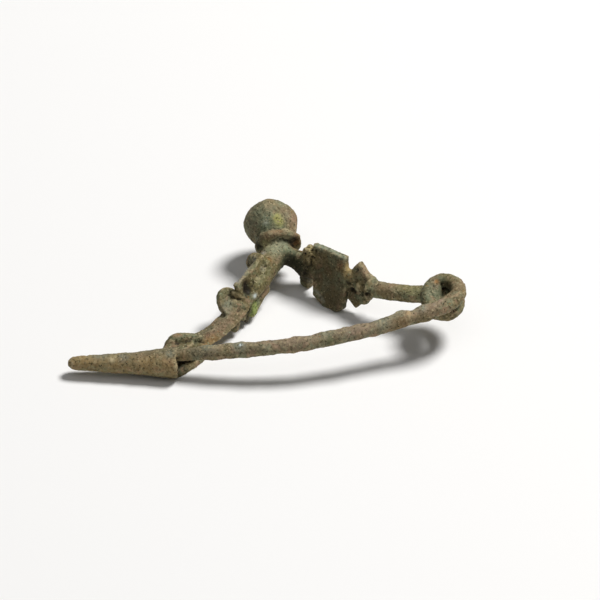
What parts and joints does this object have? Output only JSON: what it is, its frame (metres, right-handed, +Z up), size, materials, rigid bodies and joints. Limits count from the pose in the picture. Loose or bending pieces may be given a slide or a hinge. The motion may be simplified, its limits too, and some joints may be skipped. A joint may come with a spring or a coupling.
{
  "type": "fibula brooch",
  "caption": "Ancient bronze dress pin: peaked bow with a bell finial, worn cross plates, a coiled spring, a bowed pin and a long folded catch.",
  "frame": {"origin": "centre of the bounding box, on the surface that the brooch lies on", "axes": "+X along the brooch from the catch's tip to the spring, +Y from the pin towards the bow's finial, +Z up from the surface it lies on"},
  "size_m": [0.0758, 0.0422, 0.0141],
  "materials": {
    "bronze": "rough, corroded, with olive-brown and grey-green patina"
  },
  "bodies": {
    "root": {"fibula": "bronze"}
  },
  "joints": []
}
